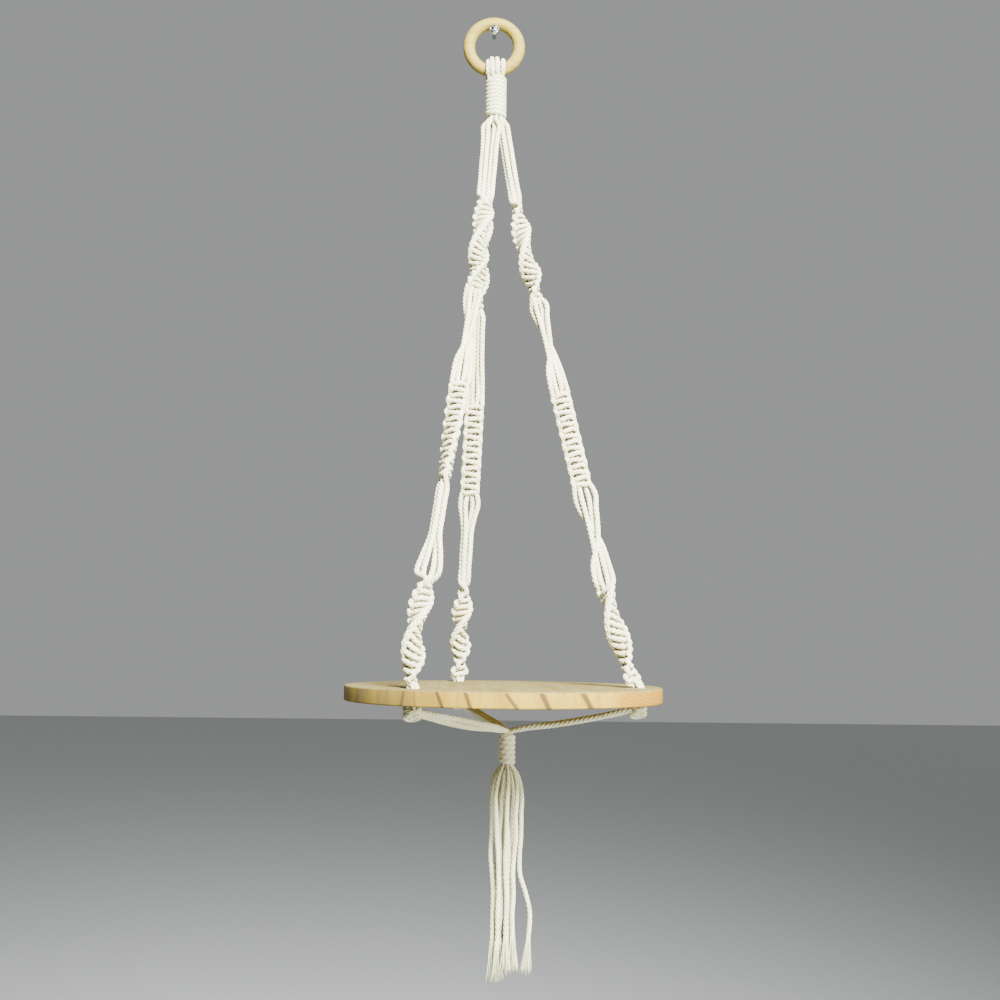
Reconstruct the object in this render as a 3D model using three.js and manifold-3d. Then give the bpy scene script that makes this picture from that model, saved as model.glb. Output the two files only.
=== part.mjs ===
import * as THREE from 'three';
import { mergeVertices } from 'three/addons/utils/BufferGeometryUtils.js';
import Module from 'manifold-3d';

// Macrame hanging shelf: a round pine board on three knotted legs of cotton cord, which hang
// from a wooden ring on a wall screw, with a tassel under the board.
// Millimetres. The origin is the screw's axis at the wall, which is the plane y = 0.
// +Z is up and the viewer stands on the -Y side.

// Driving dimensions
const CORD = 4.3; // diameter of the cotton cord
const GAP = 0.3; // clearance between neighbouring pieces
const SCREW = { shank: 4, reach: 16.2, head: 9.6, headHeight: 3.2 };
const RECESS = { width: 1.3, reach: 6, depth: 1.5 }; // cross recess in the screw's head
const RING = { outer: 57, hole: 34.6, y: -11 };
const LOOPS = { x: 1, pitch: 4.5, squeeze: 0.5, foot: 5.2, lowest: -43.8, lift: 3.6, lean: 1.4, slack: 0.7 };
const UPPER_WRAP = { x: 2.2, y: -11, top: -46.1, bottom: -84.4, outer: 19, bore: 11.8, turns: 9 };
const NECK = { x: 2.5, y: -11, z: -85.9, radius: 6, squeeze: 0.38 }; // where the three legs leave the upper wrap
const BOARD = { x: 12.5, y: -126, top: -598, thick: 12, across: 250, edge: 1, sides: 56 };
const HOLES = { radius: 106, across: 13, sides: 12 };
const STUB = { radius: 4.9, half: 6, shoulder: 2.5, crown: 9 }; // the four strands in a hole
const HALF_KNOT = 5.6; // height of one half knot
const SPIRAL = { wide: 17.6, thick: 9.6, ridge: 0.16 }; // half knot sennit
const SQUARE = { wide: 18.4, thick: 9.8, ridge: 0.18 }; // square knot sennit
const STOPPER = { across: 16.5, high: 14, ridge: 0.12, nest: 1.8 }; // knot under the board
const GATHER = { x: 16, y: -126, z: -632.6, radius: 4 };
const LOWER_WRAP = { top: -635.2, bottom: -660, outer: 12.8, bore: 8.6, turns: 6 };
const TASSEL = { top: -660.4, head: 5, radius: 7, neck: -668, bulge: -683, waist: -738, low: -774, strand: 3.9 };

// Stretches of a leg, as fractions of its length from the neck to the hole
const SPIRAL_1 = { from: 0.177, to: 0.348 };
const SQUARES = { from: 0.521, to: 0.684 };
const SPIRAL_2 = { from: 0.846, to: 0.993 };

// How far a leg stands to the right of its straight line, in millimetres, is given at these
// fractions of its length.
const DRIFT_AT = [0, 0.1, 0.2, 0.35, 0.5, 0.65, 0.8, 0.92, 1];

// One row a leg. Turns are in degrees about the leg, with 0 where the flat side faces the viewer.
const LEGS = [
  {
    name: 'leg_front_left', hole: 230.4, neck: 232, drift: [0, 2.2, 4.3, 4.6, 4.0, 2.6, 0.4, -4.2, -2],
    spiral1: { start: -70, end: 330 }, square: { start: 0, end: 82 }, spiral2: { start: -90, end: 285 },
    gaps: [{ spread: 6.2, cross: false }, { spread: 4.2, cross: true }, { spread: 4, cross: false }],
  },
  {
    name: 'leg_right', hole: -9.6, neck: -8, drift: [0, -3.5, -6.4, -7.6, -6.4, -6.4, -6.4, -6.0, -3],
    spiral1: { start: -105, end: 305 }, square: { start: 10, end: 0 }, spiral2: { start: 40, end: 331 },
    gaps: [{ spread: 4.4, cross: false }, { spread: 2.6, cross: true }, { spread: 5.2, cross: true }],
  },
  {
    name: 'leg_back', hole: 110.4, neck: 112, drift: [0, -2.6, -3.4, -4.4, -1.2, -0.4, -0.4, -0.6, 0],
    spiral1: { start: -60, end: 300 }, square: { start: 0, end: 5 }, spiral2: { start: -110, end: 345 },
    gaps: [{ spread: 5.4, cross: false }, { spread: 5.4, cross: false }, { spread: 4.4, cross: false }],
  },
];

// One row a strand of the tassel: the side it hangs on, and its reach from the tassel's middle at
// the neck, the bulge, the waist, the low part and the end, with the height of its end.
const TASSEL_STRANDS = [
  { side: 0, neck: 8.8, bulge: 11.6, waist: 10, low: 19.4, end: 15.5, z: -820 },
  { side: 45, neck: 8.6, bulge: 10.6, waist: 8.6, low: 7.3, end: 8, z: -817 },
  { side: 92, neck: 8.4, bulge: 9.8, waist: 8, low: 7.3, end: 8, z: -818 },
  { side: 137, neck: 8.8, bulge: 11, waist: 9.8, low: 9.8, end: 9.5, z: -822 },
  { side: 180, neck: 9.2, bulge: 12, waist: 10.9, low: 10.4, end: 10.6, z: -825 },
  { side: 224, neck: 8.8, bulge: 11, waist: 9.6, low: 9, end: 9.6, z: -824 },
  { side: 270, neck: 8.4, bulge: 9.8, waist: 8, low: 7.4, end: 8, z: -818 },
  { side: 316, neck: 8.6, bulge: 10.6, waist: 8.6, low: 7.4, end: 8.4, z: -816 },
  { side: 20, neck: 3.2, bulge: 4.8, waist: 3.8, low: 2.9, end: 3.6, z: -816 },
  { side: 110, neck: 3.2, bulge: 4.4, waist: 3.4, low: 3, end: 3.2, z: -819 },
  { side: 200, neck: 3.2, bulge: 5, waist: 4.4, low: 4.2, end: 4, z: -823 },
  { side: 290, neck: 3.2, bulge: 4.4, waist: 3.4, low: 3, end: 3.2, z: -817 },
];

const CORD_SIDES = 5;
const KNOT_SIDES = 6;
const STUB_SIDES = 8;
const WRAP_SIDES = 12;
const WELD = 1e-4; // vertices closer than this are one
const COTTON = { color: 0xeeeadc, roughness: 0.9, metalness: 0 };
const RING_WOOD = { color: 0xe3cfa6, roughness: 0.5, metalness: 0 };
const PINE = { color: 0xdcb985, roughness: 0.6, metalness: 0 };
const STEEL = { color: 0xb9bbbd, roughness: 0.3, metalness: 1 };

const wasm = await Module();
wasm.setup();

const radians = THREE.MathUtils.degToRad;
const mix = THREE.MathUtils.lerp;

// Solids

function weld(geometry) {
  geometry.deleteAttribute('normal');
  geometry.deleteAttribute('uv');
  return mergeVertices(geometry, WELD);
}

function volumeOf(points, triangles) {
  const corner = [new THREE.Vector3(), new THREE.Vector3(), new THREE.Vector3()];
  let total = 0;
  for (let i = 0; i < triangles.length; i += 3) {
    corner.forEach((c, k) => c.fromBufferAttribute(points, triangles[i + k]));
    total += corner[0].dot(corner[1].cross(corner[2])) / 6;
  }
  return total;
}

// A closed geometry as a solid with its faces outwards and no triangle that has lost its area
function solid(geometry) {
  const welded = weld(geometry);
  const points = welded.attributes.position;
  const triangles = [];
  for (let i = 0; i < welded.index.count; i += 3) {
    const [a, b, c] = [0, 1, 2].map((k) => welded.index.getX(i + k));
    if (a !== b && b !== c && c !== a) triangles.push(a, b, c);
  }
  if (volumeOf(points, triangles) < 0) triangles.reverse();
  const vertProperties = Float32Array.from(points.array);
  const triVerts = Uint32Array.from(triangles);
  return new wasm.Manifold(new wasm.Mesh({ numProp: 3, vertProperties, triVerts }));
}

function join(solids) {
  return solids.reduce((whole, next) => whole.add(next));
}

function meshOf(name, body, finish) {
  const { vertProperties, triVerts } = body.getMesh();
  const geometry = new THREE.BufferGeometry();
  geometry.setAttribute('position', new THREE.BufferAttribute(vertProperties, 3));
  geometry.setIndex(new THREE.BufferAttribute(triVerts, 1));
  geometry.computeVertexNormals();
  const mesh = new THREE.Mesh(geometry, new THREE.MeshStandardMaterial(finish));
  mesh.name = name;
  return mesh;
}

// A unit cylinder whose points are moved: place gets the angle round it, the fraction from
// its start to its end, and the fraction from its middle to its skin.
function shaped(sides, steps, place) {
  const skin = weld(new THREE.CylinderGeometry(1, 1, 1, sides, steps));
  const points = skin.attributes.position;
  for (let i = 0; i < points.count; i += 1) {
    const [x, y, z] = [points.getX(i), points.getY(i), points.getZ(i)];
    const moved = place(Math.atan2(z, x), y + 0.5, Math.hypot(x, z));
    points.setXYZ(i, moved.x, moved.y, moved.z);
  }
  return solid(skin);
}

// A straight-sided tube of cord through the given points
function tube(points, across, sides, steps) {
  const section = new THREE.Shape();
  for (let i = 0; i < sides; i += 1) {
    const turn = (i / sides) * Math.PI * 2;
    const corner = [Math.cos(turn) * across / 2, Math.sin(turn) * across / 2];
    if (i === 0) section.moveTo(...corner);
    else section.lineTo(...corner);
  }
  section.closePath();
  const extrudePath = new THREE.CatmullRomCurve3(points, false, 'centripetal');
  return solid(new THREE.ExtrudeGeometry(section, { steps, bevelEnabled: false, extrudePath }));
}

// A profile of [radius, height] pairs turned about the Z axis
function turned(profile, sides, close) {
  const outline = profile.map(([radius, height]) => new THREE.Vector2(radius, height));
  if (close) outline.push(outline[0].clone());
  const body = new THREE.LatheGeometry(outline, sides);
  return solid(body.rotateX(Math.PI / 2));
}

// Wall screw: a round shank and a domed head with a cross recess
function wallScrew() {
  const { shank, reach, head, headHeight } = SCREW;
  const dome = 4; // steps in the head's rounded edge
  const profile = [[0, 0], [shank / 2, 0], [shank / 2, reach]];
  for (let i = 0; i <= dome; i += 1) {
    const turn = (i / dome) * Math.PI / 2;
    profile.push([Math.cos(turn) * head / 2, reach + Math.sin(turn) * headHeight]);
  }
  const body = turned(profile, 16, false).rotate([90, 0, 0]);
  const bars = [0, 90].map((spin) => {
    const bar = new THREE.BoxGeometry(RECESS.reach, 2 * RECESS.depth, RECESS.width);
    bar.rotateY(radians(spin)).translate(0, -reach - headHeight, 0);
    return solid(bar);
  });
  return body.subtract(bars[0]).subtract(bars[1]);
}

const ringTube = (RING.outer - RING.hole) / 4;
const ringMiddle = (RING.outer + RING.hole) / 4;
const ringZ = SCREW.shank / 2 + GAP - RING.hole / 2; // it hangs on the shank by its hole

function hangingRing() {
  const ring = new THREE.TorusGeometry(ringMiddle, ringTube, 10, 32);
  return solid(ring.rotateX(Math.PI / 2).translate(0, RING.y, ringZ));
}

// The six cords folded over the ring, four on it and two on top, and the bundle in the wrap
function hangingCords() {
  const rows = [
    { x: -1.5, layer: 0 }, { x: -0.5, layer: 0 }, { x: 0.5, layer: 0 }, { x: 1.5, layer: 0 },
    { x: -0.75, layer: 1 }, { x: 0.3, layer: 1 },
  ];
  const loops = rows.map(({ x, layer }) => {
    const across = LOOPS.x + x * LOOPS.pitch;
    const inner = Math.sqrt((RING.hole / 2) ** 2 - across ** 2);
    const outer = Math.sqrt((RING.outer / 2) ** 2 - across ** 2);
    const middle = ringZ - (inner + outer) / 2;
    const up = (outer - inner) / 2 + CORD / 2 + LOOPS.slack;
    const out = ringTube + CORD / 2 + LOOPS.slack;
    const foot = { x: mix(UPPER_WRAP.x, across, LOOPS.squeeze), y: RING.y - LOOPS.foot, z: LOOPS.lowest };
    const points = [foot];
    for (let turn = -36; turn <= 216; turn += 28) {
      const lift = layer * LOOPS.lift * Math.max(0, Math.sin(radians(turn)));
      const lean = layer * LOOPS.lean * Math.max(0, Math.cos(radians(turn)));
      points.push({
        x: across,
        y: RING.y - Math.cos(radians(turn)) * out - lean,
        z: middle + Math.sin(radians(turn)) * up + lift,
      });
    }
    points.push({ ...foot, y: RING.y + LOOPS.foot });
    return tube(points.map((p) => new THREE.Vector3(p.x, p.y, p.z)), CORD, CORD_SIDES, 12);
  });
  const { x, y, bore } = UPPER_WRAP;
  const bundle = turned([
    [0, UPPER_WRAP.bottom], [bore / 2 - GAP, UPPER_WRAP.bottom],
    [bore / 2 - GAP, UPPER_WRAP.top + 1.8], [0, UPPER_WRAP.top + 1.8],
  ], WRAP_SIDES, true);
  return join([bundle.translate([x, y, 0]), ...loops]);
}

// A cord wound round a bundle, its turns as ridges
function wrap({ top, bottom, outer, bore, turns }, x, y) {
  const pitch = (top - bottom) / turns;
  const profile = [[bore / 2, top], [bore / 2, bottom]];
  for (let i = 0; i < turns; i += 1) {
    const low = bottom + i * pitch;
    profile.push([outer / 2 - 0.9, low], [outer / 2, low + pitch * 0.3], [outer / 2, low + pitch * 0.7]);
  }
  profile.push([outer / 2 - 0.9, top]);
  return turned(profile, WRAP_SIDES, true).translate([x, y, 0]);
}

// A leg's own axes: down it, across it as the viewer sees it, and behind it
function legAxes(leg) {
  const neck = radians(leg.neck);
  const from = new THREE.Vector3(
    NECK.x + NECK.radius * Math.cos(neck), NECK.y + NECK.radius * Math.sin(neck), NECK.z,
  );
  const to = holeAt(leg.hole, BOARD.top);
  const down = to.clone().sub(from).normalize();
  const across = down.clone().cross(new THREE.Vector3(0, 1, 0)).normalize();
  const behind = across.clone().cross(down);
  const drift = (s) => {
    const next = Math.max(1, DRIFT_AT.findIndex((place) => place >= s));
    const share = (s - DRIFT_AT[next - 1]) / (DRIFT_AT[next] - DRIFT_AT[next - 1]);
    return mix(leg.drift[next - 1], leg.drift[next], share);
  };
  const at = (s, a, b) => from.clone().lerp(to, s)
    .addScaledVector(across, a + drift(s))
    .addScaledVector(behind, b);
  return { at, length: from.distanceTo(to) };
}

function holeAt(angle, z) {
  const turn = radians(angle);
  const { x, y } = BOARD;
  return new THREE.Vector3(x + HOLES.radius * Math.cos(turn), y + HOLES.radius * Math.sin(turn), z);
}

// Turns a point of a leg's section about the leg
function turn(a, b, angle) {
  const [c, s] = [Math.cos(angle), Math.sin(angle)];
  return [a * c + b * s, b * c - a * s];
}

// A knotted stretch: a flat section with a ridge for each half knot, turned as it goes down.
// In a square sennit the ridges swell to the left and to the right in turn.
function sennit(axes, stretch, size, { start, end }, alternate) {
  const knots = Math.round(((stretch.to - stretch.from) * axes.length) / HALF_KNOT);
  return shaped(KNOT_SIDES, 2 * knots, (angle, t, out) => {
    const crest = Math.abs(Math.sin(Math.PI * t * knots));
    const lead = Math.floor(t * knots) % 2 === 0 ? 1 : -1;
    const swell = alternate ? 1 + lead * Math.cos(angle) : 1;
    const taper = Math.min(1, 0.62 + 0.38 * Math.min(t, 1 - t) * knots);
    const grow = out * taper * (1 - size.ridge + size.ridge * crest * swell);
    const spin = radians(mix(start, end, t));
    const [a, b] = turn(
      Math.cos(angle) * (size.wide / 2) * grow, Math.sin(angle) * (size.thick / 2) * grow, spin,
    );
    return axes.at(mix(stretch.from, stretch.to, t), a, b);
  });
}

// The four loose strands of a stretch, side by side at its ends and two and two between them,
// or two and two from the neck on. Where they cross, the outer pair changes sides.
function looseStrands(axes, from, to, turns, { spread, cross }) {
  const atNeck = from === 0;
  const rows = [
    { a: -1.3, mid: -1, b: 0.45 }, { a: -0.5, mid: -0.4, b: -0.5 },
    { a: 0.5, mid: 0.4, b: 0.5 }, { a: 1.3, mid: 1, b: -0.45 },
  ];
  return rows.map(({ a, mid, b }) => {
    const swap = cross && Math.abs(a) > 1 ? -1 : 1;
    const ends = [turn(a * CORD, 0, turns[0]), turn(swap * a * CORD, 0, turns[1])];
    const points = [0, 0.25, 0.5, 0.75, 1].map((t) => {
      const bow = atNeck ? Math.cos((Math.PI / 2) * t) : Math.sin(Math.PI * t);
      const width = spread * (atNeck ? mix(NECK.squeeze, 1, t) : 1);
      const side = swap < 0 ? mid * Math.cos(Math.PI * t) : mid;
      return axes.at(
        mix(from, to, t),
        mix(ends[0][0], ends[1][0], t) * (1 - bow) + side * width * bow,
        mix(ends[0][1], ends[1][1], t) * (1 - bow) + b * CORD * bow,
      );
    });
    return tube(points, CORD, CORD_SIDES, 5);
  });
}

function leg(row) {
  const axes = legAxes(row);
  const sink = HALF_KNOT / axes.length; // how far the strands run into the knots
  const { spiral1, square, spiral2 } = row;
  const stretches = [
    { from: 0, to: SPIRAL_1.from + sink, turns: [0, spiral1.start] },
    { from: SPIRAL_1.to - sink, to: SQUARES.from + sink, turns: [spiral1.end, square.start] },
    { from: SQUARES.to - sink, to: SPIRAL_2.from + sink, turns: [square.end, spiral2.start] },
  ];
  const hole = holeAt(row.hole, 0);
  const stub = turned([
    [0, BOARD.top + STUB.crown], [0, BOARD.top - STUB.half + GAP / 2],
    [STUB.radius, BOARD.top - STUB.half + GAP / 2], [STUB.radius, BOARD.top + STUB.shoulder],
  ], STUB_SIDES, true);
  return join([
    sennit(axes, SPIRAL_1, SPIRAL, spiral1, false),
    sennit(axes, SQUARES, SQUARE, square, true),
    sennit(axes, SPIRAL_2, SPIRAL, spiral2, false),
    stub.translate([hole.x, hole.y, 0]),
    ...stretches.flatMap(({ from, to, turns }, i) => (
      looseStrands(axes, from, to, turns.map(radians), row.gaps[i])
    )),
  ]);
}

// Round board with softened edges and a hole for each leg
function board() {
  const { x, y, top, thick, across, edge } = BOARD;
  const disc = turned([
    [0, top], [0, top - thick], [across / 2 - edge, top - thick], [across / 2, top - thick + edge],
    [across / 2, top - edge], [across / 2 - edge, top],
  ], BOARD.sides, true).translate([x, y, 0]);
  return LEGS.reduce((body, { hole }) => {
    const drill = new THREE.CylinderGeometry(HOLES.across / 2, HOLES.across / 2, 2 * thick, HOLES.sides);
    const { x: hx, y: hy } = holeAt(hole, 0);
    return body.subtract(solid(drill.rotateX(Math.PI / 2).translate(hx, hy, top - thick / 2)));
  }, disc);
}

// Under the board: a stopper knot at each hole, and its four strands run in to the bundle
function underCords() {
  const under = BOARD.top - BOARD.thick;
  const { x, y, z, radius } = GATHER;
  const bundle = turned([
    [0, z + radius], [0, LOWER_WRAP.bottom], [radius, LOWER_WRAP.bottom], [radius, z],
  ], WRAP_SIDES, true).translate([x, y, 0]);
  const bodies = LEGS.flatMap(({ hole }) => {
    const middle = holeAt(hole, under - GAP - STOPPER.high / 2 + STOPPER.nest);
    const inward = new THREE.Vector3(x - middle.x, y - middle.y, 0).normalize();
    const sideways = new THREE.Vector3(-inward.y, inward.x, 0);
    const knot = shaped(8, 5, (angle, t, out) => {
      const bulge = out * Math.sqrt(Math.max(0, Math.sin(Math.PI * mix(0.06, 0.94, t))));
      const lump = 1 + STOPPER.ridge * Math.sin(3 * angle + 6 * t);
      const reach = (STOPPER.across / 2) * bulge * lump;
      return new THREE.Vector3(
        middle.x + Math.cos(angle) * reach, middle.y - Math.sin(angle) * reach,
        middle.z + STOPPER.high * (t - 0.5),
      );
    });
    const plug = turned([
      [0, BOARD.top - STUB.half - GAP / 2], [0, under - 3],
      [STUB.radius, under - 3], [STUB.radius, BOARD.top - STUB.half - GAP / 2],
    ], STUB_SIDES, true).translate([middle.x, middle.y, 0]);
    const strands = [-1.5, -0.5, 0.5, 1.5].map((place, i) => {
      const start = middle.clone().addScaledVector(sideways, place * CORD * 0.6);
      const end = new THREE.Vector3(x, y, z).addScaledVector(inward, -radius * 0.4);
      end.addScaledVector(sideways, place * radius * 0.35);
      const points = [0, 0.3, 0.62, 0.9, 1].map((t) => {
        const sag = -1.2 * Math.sin(Math.PI * t);
        const stagger = (i % 2 === 0 ? 1 : -1) * CORD * 0.3 * Math.sin(Math.PI * t);
        const point = start.clone().lerp(end, t);
        point.z += sag + stagger;
        return point;
      });
      return tube(points, CORD, CORD_SIDES, 5);
    });
    return [knot, plug, ...strands];
  });
  return join([bundle, ...bodies]);
}

// Twelve loose strand ends that hang from a short head under the lower wrap
function tassel() {
  const { top, head, radius, neck, bulge, waist, low, strand } = TASSEL;
  const { x, y } = GATHER;
  const crown = turned([
    [0, top], [0, top - head], [radius, top - head], [radius * 0.6, top],
  ], WRAP_SIDES, true).translate([x, y, 0]);
  const strands = TASSEL_STRANDS.map((row) => {
    const side = radians(row.side);
    const points = [
      [row.neck * 0.7, top - head * 0.6], [row.neck, neck], [row.bulge, bulge],
      [row.waist, waist], [row.low, low], [row.end, row.z],
    ].map(([reach, z]) => new THREE.Vector3(x + reach * Math.cos(side), y + reach * Math.sin(side), z));
    return tube(points, strand, 4, 8);
  });
  return join([crown, ...strands]);
}

const shelf = new THREE.Group();
shelf.name = 'macrame_wall_shelf';
shelf.add(
  meshOf('wall_screw', wallScrew(), STEEL),
  meshOf('hanging_ring', hangingRing(), RING_WOOD),
  meshOf('hanging_cords', hangingCords(), COTTON),
  meshOf('upper_wrap', wrap(UPPER_WRAP, UPPER_WRAP.x, UPPER_WRAP.y), COTTON),
  ...LEGS.map((row) => meshOf(row.name, leg(row), COTTON)),
  meshOf('board', board(), PINE),
  meshOf('under_cords', underCords(), COTTON),
  meshOf('lower_wrap', wrap(LOWER_WRAP, GATHER.x, GATHER.y), COTTON),
  meshOf('tassel', tassel(), COTTON),
);

export default shelf;
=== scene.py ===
import bpy
import numpy as np
from mathutils import Matrix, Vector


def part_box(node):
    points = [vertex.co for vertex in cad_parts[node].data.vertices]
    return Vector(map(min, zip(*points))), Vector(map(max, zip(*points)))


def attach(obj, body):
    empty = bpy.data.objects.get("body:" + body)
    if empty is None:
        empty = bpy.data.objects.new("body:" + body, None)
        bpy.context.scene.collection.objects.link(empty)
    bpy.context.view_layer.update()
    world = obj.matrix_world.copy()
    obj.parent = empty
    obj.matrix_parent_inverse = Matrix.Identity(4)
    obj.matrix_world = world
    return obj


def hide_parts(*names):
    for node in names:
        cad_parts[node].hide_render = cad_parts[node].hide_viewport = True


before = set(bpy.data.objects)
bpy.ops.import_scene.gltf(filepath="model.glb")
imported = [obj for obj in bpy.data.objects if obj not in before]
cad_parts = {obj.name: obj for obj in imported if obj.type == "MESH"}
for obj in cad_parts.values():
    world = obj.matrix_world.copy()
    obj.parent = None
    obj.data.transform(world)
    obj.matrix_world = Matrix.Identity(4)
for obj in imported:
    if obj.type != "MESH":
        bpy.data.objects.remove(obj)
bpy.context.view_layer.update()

# A macrame hanging shelf. Lengths are in millimetres until a mesh is made, and angles are in
# degrees. Sizes that the frame gives are read from it, and the others are named here.
MM = 0.001


def node_box(name):
    """Lowest and highest corner of a frame node in millimetres."""
    low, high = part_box(name)
    return np.array(low) / MM, np.array(high) / MM


def rad(degrees):
    return np.radians(degrees)


def mix(start, end, t):
    return start + (end - start) * t


def ease(t):
    """From 0 to 1 with a level start and end: t squared times three less two t."""
    t = np.clip(t, 0, 1)
    return t * t * (3 - 2 * t)


def between(value, start, end):
    """The ease of how far a value has come from start to end."""
    return ease((value - start) / (end - start))


# Driving sizes
CORD = 4.3
CORD_RADIUS = CORD / 2
# A strand's thickness as a share of a free one's
KNOTTED = 0.98  # of the two that are tied, in a knot
CORE = 0.85  # of the two straight ones inside a knot
PACKED = 0.62  # inside a wrap
BENT = 0.9  # where it comes out of a wrap, and in a hole above its stopper knot
IN_HOLE = 0.95  # where a leg goes into its hole
PLIES = 3
LAY = 11.5  # length of cord in which its plies go once round
TIP = 0.01  # radius of a turned shape where it closes on its axis

ring_low, ring_high = node_box("hanging_ring")
RING_TUBE = (ring_high[1] - ring_low[1]) / 2
RING_MIDDLE = (ring_high[0] - ring_low[0]) / 2 - RING_TUBE
RING_CENTRE = (ring_low + ring_high) / 2

screw_low, screw_high = node_box("wall_screw")
SCREW = {"shank": 2, "head": 4.8, "under": 4.5, "crown": 3.2, "front": -screw_low[1]}
RECESS = {"half": 0.65, "reach": 3.2, "depth": 1.8, "soft": 0.25, "above": 0.05}

board_low, board_high = node_box("board")
BOARD_TOP = board_high[2]
BOARD_UNDER = board_low[2]
BOARD_RADIUS = (board_high[1] - board_low[1]) / 2
BOARD_CENTRE = (board_low + board_high) / 2
BOARD_FRONT = board_low[1]
BOARD_EDGE = 1.2  # radius of the rounding of both its edges
BOARD_FLAT = 60  # radius of the middle part of its faces
HOLE_RADIUS = 6.5
HOLES_AT = 106
DRILL_OVER = 5  # how far the drill that makes the holes stands out of both faces

# The cords over the ring. At its lowest free point a cord stands this foot in front of the
# ring's middle and behind it, and is squeezed in to the wrap's middle. The sunk values say the
# same of its end inside the wrap.
LOOPS = {
    "x": 1.4, "pitch": 4.6, "lift": 3.6, "lean": 1.4, "slack": 0.3,
    "foot": 5.0, "squeeze": 0.9, "lowest": -43.8,
    "sunk_foot": 3.2, "sunk_squeeze": 0.8, "sunk": 9,
}
# One row a cord: its place across, in pitches, and 1 where it lies on the others
LOOP_ROWS = ((-1.5, 0), (-0.5, 0), (0.5, 0), (1.5, 0), (-0.75, 1), (0.3, 1))
LOOP_TURNS = range(-36, 217, 21)  # degrees round the ring's tube, from straight in front of it

UPPER_WRAP = {"x": 2.2, "y": -11, "top": -44.6, "bottom": -84.4, "outer": 19, "turns": 10, "core": 5.4}
LOWER_WRAP = {"x": 16, "y": -126, "top": -635.2, "bottom": -660, "outer": 12.8, "turns": 6}
# How a wrap is wound: how far in from its top and foot its cord lies as a share of a radius,
# the part of a turn that is level there, how far its ends are drawn in, in cords, over which
# part of a turn, and how much thicker and less grooved its cord is than a free one
WRAPPING = {
    "inset": 0.9, "level": 0.2, "drawn": 0.55, "over": 0.25, "thicker": 1.12, "grooved": 0.4, "steps": 14,
}
# Where the legs start below the upper wrap, each at that radius from the bundle's middle
NECK = {"x": 2.5, "y": -11, "z": -85.9, "radius": 6}
# Where the cords below the board meet: how far short of the middle each run ends, how far apart
# the cords of a leg are there, how far a run hangs down and the radius of the bundle
GATHER = {"x": 16, "y": -126, "z": -632.6, "short": 2, "apart": 1.6, "sag": 1.2, "bundle": 3.6}
# The knot under each hole: the radius of its coils and of its core, the rise from coil to coil,
# how far a coil tilts, its strand's thickness, and how far out and how far apart, in cords, its
# four cords leave it
STOPPER = {
    "middle": -615.5, "coil": 5.2, "core": 5.4, "rise": 1.92, "tilt": 2.2, "strand": 0.92,
    "leave": 5, "apart": 0.6,
}
STOPPER_TURNS = range(0, 300, 36)  # degrees round the stopper knot

# Knots
HALF_KNOT = 5.6
KNOT_SIDE = 6.4  # from the middle of a knotted stretch to the middle of its side strands
KNOT_DEPTH = 2.8  # from the middle of a knotted stretch to the middle of its bars
KNOT_SHADED_BELOW = 0.92  # a point with a reach below this share of the knot's gets painted shade
KNOT_SHADE = 0.3  # and full painted shade this much below it
KNOT_BULGE = 1.1  # how far out the middle of a bar comes, as a share of KNOT_DEPTH
KNOT_FADE = 1 / 12  # the part of a stretch in which its painted shade starts and ends
CORE_APART = 1.7  # from the middle of a knotted stretch to the middle of each straight strand
# The shade of a stretch is the strength of the painted shade between its bars
STRETCHES = (
    {"kind": "spiral", "from": 0.177, "to": 0.348, "shade": 0.5},
    {"kind": "square", "from": 0.521, "to": 0.684, "shade": 0.95},
    {"kind": "spiral", "from": 0.846, "to": 0.993, "shade": 0.5},
)
# A half knot whose front strand goes from left to right: across, behind and down, as shares of
# KNOT_SIDE, KNOT_DEPTH and HALF_KNOT. The other strand goes round the back from right to left.
FRONT_BAR = (
    (-1.0, 0.25, 0.0), (-0.93, -0.5, 0.42), (-0.5, -1.02, 0.6), (0.0, -1.12, 0.5),
    (0.5, -1.02, 0.4), (0.93, -0.5, 0.58),
)
BACK_BAR = (
    (1.06, -0.85, 0.0), (1.02, -0.35, 0.4), (0.7, 0.6, 0.52), (0.25, 1.05, 0.5),
    (-0.25, 1.05, 0.5), (-0.7, 0.6, 0.48), (-1.02, -0.35, 0.6),
)
FRONT_TURN = (
    (-1.12, -0.7, -0.1), (-0.85, -0.95, 0.32), (-0.2, -1.06, 0.5), (0.5, -0.85, 0.62),
    (0.92, -0.2, 0.84),
)
BACK_TURN = (
    (1.16, 0.05, 0.0), (1.12, -0.75, 0.42), (0.8, 0.0, 0.86), (0.4, 0.95, 0.75),
    (-0.3, 1.0, 0.45), (-0.9, 0.35, 0.05),
)

# How far a leg stands to the right of its straight line, at these shares of the way down
DRIFT_AT = (0, 0.1, 0.2, 0.35, 0.5, 0.65, 0.8, 0.92, 1)
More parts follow.
